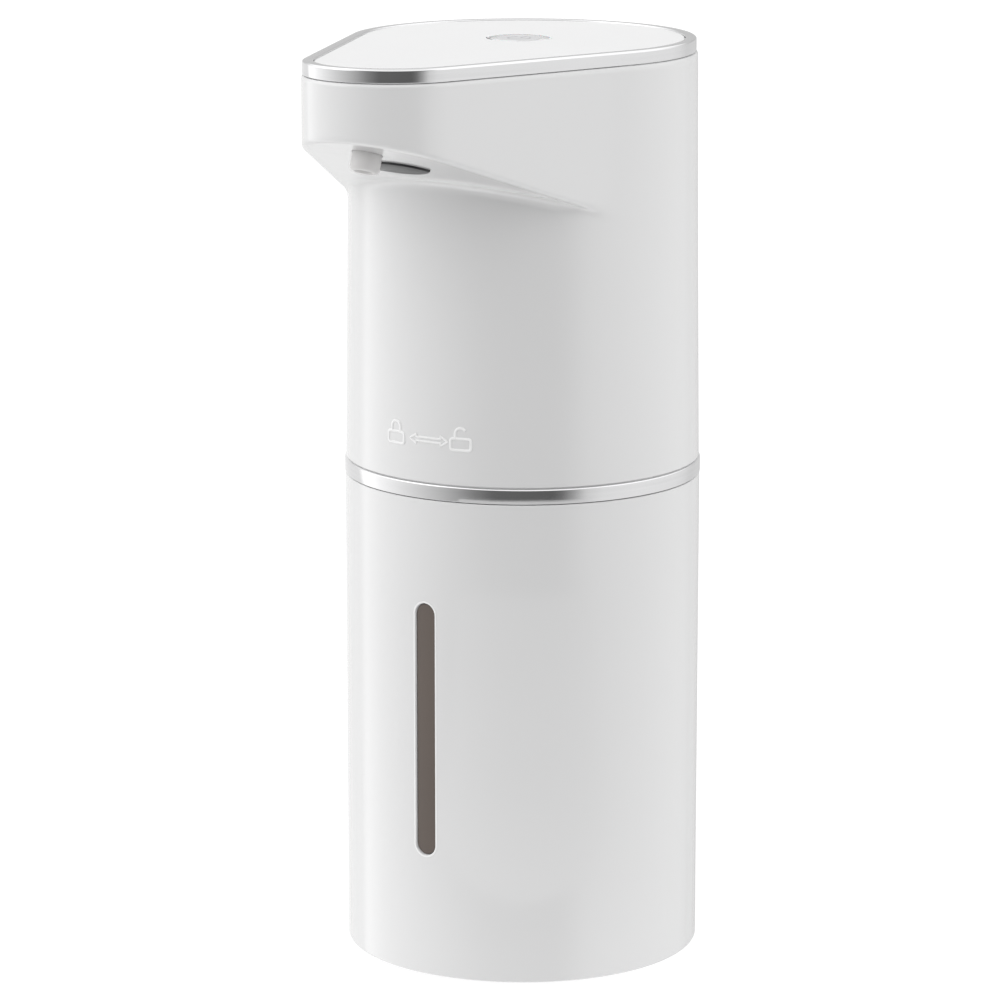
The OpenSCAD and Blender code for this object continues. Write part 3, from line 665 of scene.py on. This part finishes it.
def make_sensor_lens():
    """The leaf-shaped window: a polished pad with a softened face edge."""
    face = -WINDOW_PROUD
    levels = [(0, HEAD_WALL + 0.5), (0, face + 0.15), (-0.05, face + 0.05), (-0.15, face)]
    rings = [[(u, v, z) for u, v in leaf_outline(grow)] for grow, z in levels]
    lens = moved(loft("sensor_lens", rings, capped=True), underside_frame(WINDOW_D))
    finish_piece(lens, "head", "sensor_black", ["sensor_window"])


# ---- Lock marks ----


def on_column(u, v, height):
    """A point on the head's column, u along its girth from -Y and at level v."""
    reach = column_r(v) + height
    turn = u / column_r(v)
    return (reach * math.sin(turn), -reach * math.cos(turn), v)


def padlock_lines(centre_u, is_open):
    """The body and the shackle of a padlock mark."""
    outline = rounded_box_outline(PADLOCK_W, PADLOCK_H, 0.5, 4)
    body = [(centre_u + u, MARK_Z + 1.05 + v) for u, v in outline]
    foot = MARK_Z + 2.2
    turns = [math.pi * i / 10 for i in range(11)]
    hoop = [(centre_u - SHACKLE_R * math.cos(a), foot + 1.0 + 1.25 * math.sin(a)) for a in turns]
    if is_open:
        return body, [(centre_u - SHACKLE_R, foot)] + hoop[:9]
    return body, [(centre_u - SHACKLE_R, foot)] + hoop + [(centre_u + SHACKLE_R, foot)]


def arrow_line():
    """A double arrow's outline, between the two padlocks."""
    tip, neck, half_head, half_shaft = 4.5, 2.9, 1.0, 0.42
    right = [(neck, half_shaft), (neck, half_head), (tip, 0), (neck, -half_head), (neck, -half_shaft)]
    left = [(-u, -v) for u, v in right]
    return [(u - 0.35, MARK_Z + 1.4 + v) for u, v in right + left]


def make_lock_marks():
    """A closed padlock, a double arrow and an open padlock, raised on the head."""
    for side, is_open, name in ((-1, False, "locked"), (1, True, "released")):
        body, shackle = padlock_lines(side * PADLOCK_SPACING + MARK_SHIFT, is_open)
        box = ribbon(f"mark_{name}_body", body, MARK_W, MARK_H, on_column, closed=True)
        hoop = ribbon(f"mark_{name}_shackle", shackle, MARK_W, MARK_H, on_column)
        finish_piece(box, "head", "white_gloss", look="mark_and_highlight_white")
        finish_piece(hoop, "head", "white_gloss", look="mark_and_highlight_white")
    arrow = densified(arrow_line(), 0.3)
    mark = ribbon("mark_arrow", arrow, 0.8 * MARK_W, MARK_H, on_column, closed=True)
    finish_piece(mark, "head", "white_gloss", look="mark_and_highlight_white")


# ---- Back of the dispenser ----


def make_flap():
    """The charging flap: it follows the column's curve, a hair below it, and has soft edges."""
    sunk = 0.08
    outline = rounded_box_outline(FLAP_W, FLAP_H, 1.1)
    layers = [(0.3, 0), (0, 0.25), (0, 0.82), (0.12, 0.97), (0.4, 1)]
    rings = []
    for inset, share in layers:
        ring = []
        for u, v in outline:
            x, z = u * (1 - inset / (FLAP_W / 2)), PORT_Z + v * (1 - inset / (FLAP_H / 2))
            face_y = math.sqrt((column_r(z) - sunk) ** 2 - x**2)
            ring.append((x, FLAP_BACK_Y + (face_y - FLAP_BACK_Y) * share, z))
        rings.append(ring)
    flap = loft("flap_skin", rings, capped=True)
    finish_piece(flap, "flap", "silicone_white", ["port_flap"])


def make_flap_plug():
    """The stub on the flap's back that presses into the charging socket."""
    outline = rounded_box_outline(7.4, 1.6, 0.7)
    levels = [(0.15, 1), (-0.85, 1), (-1.2, 0.86)]
    rings = [[(u * k, FLAP_BACK_Y + y, PORT_Z + v * k) for u, v in outline] for y, k in levels]
    finish_piece(loft("flap_plug", rings, capped=True), "flap", "silicone_white")


def softened(node, name, body, material_slot, width):
    """A copy of a plain CAD node with welded, bevelled edges, which stands for it."""
    mesh = frame["nodes"][node].data.copy()
    piece = bpy.data.objects.new(name, mesh)
    bpy.context.scene.collection.objects.link(piece)
    shape = bmesh.new()
    shape.from_mesh(mesh)
    bmesh.ops.remove_doubles(shape, verts=shape.verts, dist=1e-6)
    bmesh.ops.dissolve_limit(
        shape, angle_limit=math.radians(2), verts=shape.verts, edges=shape.edges
    )
    edges = [e for e in shape.edges if e.is_manifold and e.calc_face_angle() > math.radians(40)]
    bmesh.ops.bevel(
        shape, geom=edges, offset=width * MM, segments=3, profile=0.5, affect="EDGES",
        clamp_overlap=True,
    )
    shape.to_mesh(mesh)
    shape.free()
    return finish_piece(piece, body, material_slot, [node])


# ---- Materials ----


class Look:
    """A Principled material whose colour, roughness and relief vary by noise in object space."""

    def __init__(self, name, colour, roughness, metallic=0.0):
        self.material = bpy.data.materials.new(name)
        self.material.use_nodes = True
        self.nodes = self.material.node_tree.nodes
        self.links = self.material.node_tree.links
        self.shader = self.nodes["Principled BSDF"]
        self.shader.inputs["Metallic"].default_value = metallic
        self.place = self.nodes.new("ShaderNodeTexCoord").outputs["Object"]
        self.colour = colour
        self.roughness = roughness

    def noise(self, scale, detail=3, stretch=(1, 1, 1)):
        """Noise with about scale features per metre, finer along an axis whose stretch is larger."""
        mapping = self.nodes.new("ShaderNodeMapping")
        mapping.inputs["Scale"].default_value = stretch
        self.links.new(self.place, mapping.inputs["Vector"])
        texture = self.nodes.new("ShaderNodeTexNoise")
        texture.inputs["Scale"].default_value = scale
        texture.inputs["Detail"].default_value = detail
        self.links.new(mapping.outputs["Vector"], texture.inputs["Vector"])
        return texture.outputs["Fac"]

    def spread(self, value, low, high):
        """Maps noise, which stays between about 0.3 and 0.7, to low and high."""
        ramp = self.nodes.new("ShaderNodeMapRange")
        ramp.inputs["From Min"].default_value = 0.3
        ramp.inputs["From Max"].default_value = 0.7
        ramp.inputs["To Min"].default_value = low
        ramp.inputs["To Max"].default_value = high
        self.links.new(value, ramp.inputs["Value"])
        return ramp.outputs["Result"]

    def tinted(self, scale, amount, stretch=(1, 1, 1)):
        """The colour drifts by amount, up and down, over patches of the given scale."""
        mix = self.nodes.new("ShaderNodeMix")
        mix.data_type = "RGBA"
        mix.inputs["A"].default_value = [c * (1 - amount) for c in self.colour] + [1]
        mix.inputs["B"].default_value = [min(1, c * (1 + amount)) for c in self.colour] + [1]
        self.links.new(self.spread(self.noise(scale, 2, stretch), 0, 1), mix.inputs["Factor"])
        self.links.new(mix.outputs["Result"], self.shader.inputs["Base Color"])
        return self

    def polished(self, scale, amount, stretch=(1, 1, 1)):
        """The roughness drifts by amount, up and down."""
        value = self.noise(scale, 4, stretch)
        rough = self.spread(value, self.roughness - amount, self.roughness + amount)
        self.links.new(rough, self.shader.inputs["Roughness"])
        return self

    def grained(self, scale, height_um, stretch=(1, 1, 1)):
        """Relief of about height_um micrometres."""
        bump = self.nodes.new("ShaderNodeBump")
        bump.inputs["Strength"].default_value = 1
        bump.inputs["Distance"].default_value = height_um * 1e-6
        self.links.new(self.noise(scale, 3, stretch), bump.inputs["Height"])
        self.links.new(bump.outputs["Normal"], self.shader.inputs["Normal"])
        return self

    def set(self, **values):
        """Sets shader inputs that are the same all over, such as Coat_Weight=0.3."""
        for key, value in values.items():
            self.shader.inputs[key.replace("_", " ")].default_value = value
        return self


def gloss_plastic(name, colour, roughness=0.2):
    """Moulded plastic with a clear, smooth coat over faint orange peel."""
    look = Look(name, colour, roughness).tinted(18, 0.008).polished(160, 0.02).grained(600, 0.8)
    return look.set(Coat_Weight=1.0, Coat_Roughness=0.04, Specular_IOR_Level=0.6).material


def cover_plastic(name, colour):
    """Smooth plastic without a clear coat, for the cover, the marks, the lip's painted highlight, the
    nozzle and the sensor.
    """
    return Look(name, colour, 0.3).tinted(15, 0.004).polished(60, 0.012).grained(300, 0.3).material


def matt_plastic(name, colour, roughness=0.5):
    """Moulded plastic with a fine spark-eroded grain."""
    look = Look(name, colour, roughness).tinted(40, 0.025).polished(300, 0.07).grained(2600, 14)
    return look.material


def rubber(name, colour, roughness=0.7):
    """Dull rubber or foam with a coarse grain."""
    look = Look(name, colour, roughness).tinted(90, 0.06).polished(420, 0.08).grained(1800, 22)
    return look.set(Sheen_Weight=0.08, Sheen_Roughness=0.5).material


def brushed_metal(name, colour, roughness, height_um=3):
    """Metal with fine lines that run level, round the piece."""
    look = Look(name, colour, roughness, metallic=1.0)
    look.tinted(30, 0.02, (1, 1, 60)).polished(40, 0.04, (1, 1, 90))
    return look.grained(50, height_um, (1, 1, 120)).material


def smoked_plastic(name):
    """Smoke-brown see-through plastic over dark soap."""
    look = Look(name, (0.10, 0.076, 0.062), 0.13).tinted(60, 0.07, (1, 1, 0.3))
    look.polished(200, 0.03).grained(500, 5)
    return look.set(Coat_Weight=0.6, Coat_Roughness=0.04, Specular_IOR_Level=0.6).material


def silicone(name, colour):
    """Soft, slightly see-through silicone."""
    look = Look(name, colour, 0.42).tinted(50, 0.02).polished(260, 0.06).grained(1500, 10)
    return look.set(Subsurface_Weight=0.15, Subsurface_Scale=0.002).material


def make_materials():
    """One material for each slot of the record, and four more for the cover, the marks (also the lip's
    painted highlight) and the disc.
    """
    return {
        "white_gloss": gloss_plastic("white_gloss", (0.722, 0.722, 0.724)),
        "silver_trim": brushed_metal("silver_trim", (0.80, 0.80, 0.805), 0.1),
        "smoked_bottle": smoked_plastic("smoked_bottle"),
        "pale_plastic": matt_plastic("pale_plastic", (0.78, 0.79, 0.80)),
        "grey_plastic": matt_plastic("grey_plastic", (0.30, 0.31, 0.33)),
        "black_plastic": matt_plastic("black_plastic", (0.02, 0.02, 0.022)),
        "foot_rubber": rubber("foot_rubber", (0.05, 0.05, 0.052)),
        "foam_tape": rubber("foam_tape", (0.36, 0.37, 0.38), 0.85),
        "light_diffuser": silicone("light_diffuser", (0.74, 0.75, 0.76)),
        "board_green": gloss_plastic("board_green", (0.02, 0.14, 0.07), 0.3),
        "steel": brushed_metal("steel", (0.60, 0.60, 0.62), 0.26),
        "sensor_black": cover_plastic("sensor_black", (0.03, 0.03, 0.032)),
        "nozzle_white": cover_plastic("nozzle_white", (0.66, 0.65, 0.645)),
        "silicone_clear": silicone("silicone_clear", (0.70, 0.71, 0.72)),
        "silicone_white": silicone("silicone_white", (0.80, 0.80, 0.80)),
        "motor_can": brushed_metal("motor_can", (0.58, 0.58, 0.60), 0.3),
        "brass_hub": brushed_metal("brass_hub", (0.72, 0.50, 0.20), 0.24),
        "battery_wrap": gloss_plastic("battery_wrap", (0.02, 0.10, 0.32), 0.28),
        "cover_white": cover_plastic("cover_white", (0.83, 0.83, 0.832)),
        # Whiter than the body: the lock marks, and a painted highlight on the level window's lip
        "mark_and_highlight_white": cover_plastic("mark_and_highlight_white", (0.86, 0.86, 0.86)),
        "button_disc": matt_plastic("button_disc", (0.60, 0.60, 0.61), 0.4),
        "button_mark": matt_plastic("button_mark", (0.42, 0.42, 0.43), 0.45),
    }


def dress_cad_nodes():
    """Gives every CAD node its slot's material."""
    for row in frame["record"]["subparts"]:
        surfaces = frame["nodes"][row["node"]].data.materials
        surfaces.clear()
        surfaces.append(materials[row["material_slot"]])


# ---- Studio ----


def make_floor():
    """A wide pale floor, lit from within so that it hardly takes a shadow."""
    steps = 96
    turns = [2 * math.pi * i / steps for i in range(steps)]
    rim = [(FLOOR_R * math.cos(a), FLOOR_R * math.sin(a), 0) for a in turns]
    floor = make_object("floor", rim, [tuple(range(steps))])
    look = Look("floor", (0.22, 0.22, 0.22), 0.9).tinted(3, 0.004).polished(20, 0.05)
    look.grained(400, 8).set(Emission_Color=(1, 1, 1, 1), Emission_Strength=FLOOR_GLOW)
    floor.data.materials.append(look.material)
    floor.visible_glossy = False


def round_wall(name, reach, bottom, top, steps=120):
    """An upright wall round the dispenser that lights nothing matt. Its own -Y faces the camera."""
    turns = [2 * math.pi * i / steps for i in range(steps)]
    verts = [(reach * math.sin(a), -reach * math.cos(a), z) for z in (bottom, top) for a in turns]
    faces = [(i, (i + 1) % steps, steps + (i + 1) % steps, steps + i) for i in range(steps)]
    wall = make_object(name, verts, faces)
    wall.rotation_euler.z = CAMERA_AZIMUTH
    wall.visible_diffuse = False
    wall.visible_shadow = False
    wall.visible_transmission = False
    return wall


def make_backdrop():
    """A pale wall at the floor's edge, which only the camera sees: a low view shows no horizon."""
    backdrop = round_wall("backdrop", FLOOR_R - 100, 0, BACKDROP_H)
    look = Look("backdrop", (0.05, 0.05, 0.05), 0.9).tinted(3, 0.05).polished(20, 0.05)
    look.set(Emission_Color=(1, 1, 1, 1), Emission_Strength=BACKDROP_GLOW)
    backdrop.data.materials.append(look.material)
    backdrop.visible_glossy = False


def azimuth_share(look):
    """A socket that runs from 0 to 1 round a wall, from its far side past the camera and back."""
    split = look.nodes.new("ShaderNodeSeparateXYZ")
    look.links.new(look.place, split.inputs["Vector"])
    ahead = look.nodes.new("ShaderNodeMath")
    ahead.operation = "MULTIPLY"
    ahead.inputs[1].default_value = -1
    look.links.new(split.outputs["Y"], ahead.inputs[0])
    turn = look.nodes.new("ShaderNodeMath")
    turn.operation = "ARCTAN2"
    look.links.new(split.outputs["X"], turn.inputs[0])
    look.links.new(ahead.outputs["Value"], turn.inputs[1])
    share = look.nodes.new("ShaderNodeMapRange")
    share.inputs["From Min"].default_value = -math.pi
    share.inputs["From Max"].default_value = math.pi
    look.links.new(turn.outputs["Value"], share.inputs["Value"])
    return share.outputs["Result"]


def make_reflection_wall():
    """A ring of soft cards round the dispenser that only gloss and metal see."""
    wall = round_wall("reflection_wall", REFLECTION_REACH, REFLECTION_BOTTOM, REFLECTION_TOP)
    look = Look("reflection_wall", (0.01, 0.01, 0.01), 0.9).tinted(5, 0.1)
    ramp = look.nodes.new("ShaderNodeValToRGB")
    stops = ramp.color_ramp.elements
    for degrees, _ in REFLECTIONS[1:-1]:
        stops.new((degrees + 180) / 360)
    # A ramp's colours end at 1, so the levels are halved and the strength is doubled
    for stop, (_, level) in zip(stops, REFLECTIONS):
        stop.color = (level / 2, level / 2, level / 2, 1)
    look.links.new(azimuth_share(look), ramp.inputs["Fac"])
    look.links.new(ramp.outputs["Color"], look.shader.inputs["Emission Color"])
    look.set(Emission_Strength=2)
    wall.data.materials.append(look.material)
    wall.visible_camera = False


def make_foreground_card():
    """A dimmer patch of floor before the dispenser, which the camera doesn't see. It keeps the
    column under the spout a little darker."""
    near, far, half_near, half_far, level = 90, 1000, 110, 700, 1
    corners = [(-half_near, -near, level), (half_near, -near, level)]
    corners += [(half_far, -far, level), (-half_far, -far, level)]
    card = make_object("foreground_card", corners, [(0, 1, 2, 3)])
    card.rotation_euler.z = CAMERA_AZIMUTH
    look = Look("foreground_card", (0.02, 0.02, 0.02), 0.9).tinted(5, 0.1)
    look.set(Emission_Color=(1, 1, 1, 1), Emission_Strength=FOREGROUND_LEVEL)
    card.data.materials.append(look.material)
    card.visible_camera = False
    card.visible_shadow = False
    card.visible_transmission = False


def make_sky():
    """A soft studio: bright to the left, right and above, dimmer behind the camera and straight up."""
    world = bpy.data.worlds.new("studio")
    world.use_nodes = True
    nodes, links = world.node_tree.nodes, world.node_tree.links
    direction = nodes.new("ShaderNodeTexCoord").outputs["Generated"]

    def along(axis):
        dot = nodes.new("ShaderNodeVectorMath")
        dot.operation = "DOT_PRODUCT"
        dot.inputs[1].default_value = axis
        links.new(direction, dot.inputs[0])
        return dot.outputs["Value"]

    def ranged(value, from_min, from_max, to_min, to_max):
        ramp = nodes.new("ShaderNodeMapRange")
        ramp.interpolation_type = "SMOOTHSTEP"
        for key, number in zip(
            ("From Min", "From Max", "To Min", "To Max"), (from_min, from_max, to_min, to_max)
        ):
            ramp.inputs[key].default_value = number
        links.new(value, ramp.inputs["Value"])
        return ramp.outputs["Result"]

    def combined(kind, a, b):
        math_node = nodes.new("ShaderNodeMath")
        math_node.operation = kind
        links.new(a, math_node.inputs[0])
        links.new(b, math_node.inputs[1])
        return math_node.outputs["Value"]

    front = along((math.sin(CAMERA_AZIMUTH), -math.cos(CAMERA_AZIMUTH), 0))
    left = along((-math.cos(CAMERA_AZIMUTH), -math.sin(CAMERA_AZIMUTH), 0))
    level = combined("MULTIPLY", ranged(front, *SKY_FRONT), ranged(front, *SKY_BACK))
    level = combined("MULTIPLY", level, ranged(left, *SKY_SIDES))
    upward = along((0, 0, 1))
    strength = combined("MAXIMUM", level, ranged(upward, *SKY_OVERHEAD))
    strength = combined("MULTIPLY", strength, ranged(upward, *SKY_ZENITH))
    background = nodes["Background"]
    background.inputs["Color"].default_value = (1, 1, 1, 1)
    links.new(strength, background.inputs["Strength"])
    bpy.context.scene.world = world


def main():
    """Dresses the frame, adds the detailed pieces and sets up the studio."""
    dress_cad_nodes()
    make_head()
    make_tank()
    make_highlight_lip()
    make_silver_ring()
    make_top_trim()
    make_top_plate()
    make_button()
    make_nozzle()
    make_sensor_lens()
    make_lock_marks()
    make_flap()
    make_flap_plug()
    softened("hanger_rail", "hanger", "tank", "white_gloss", 0.6)
    softened("wall_plate", "bracket_plate", "wall_bracket", "pale_plastic", 0.4)
    softened("adhesive_pad", "bracket_pad", "wall_bracket", "foam_tape", 0.2)
    make_floor()
    make_backdrop()
    make_sky()
    make_reflection_wall()
    make_foreground_card()
    bpy.context.scene.view_settings.view_transform = "Standard"


make_camera()
materials = make_materials()
main()
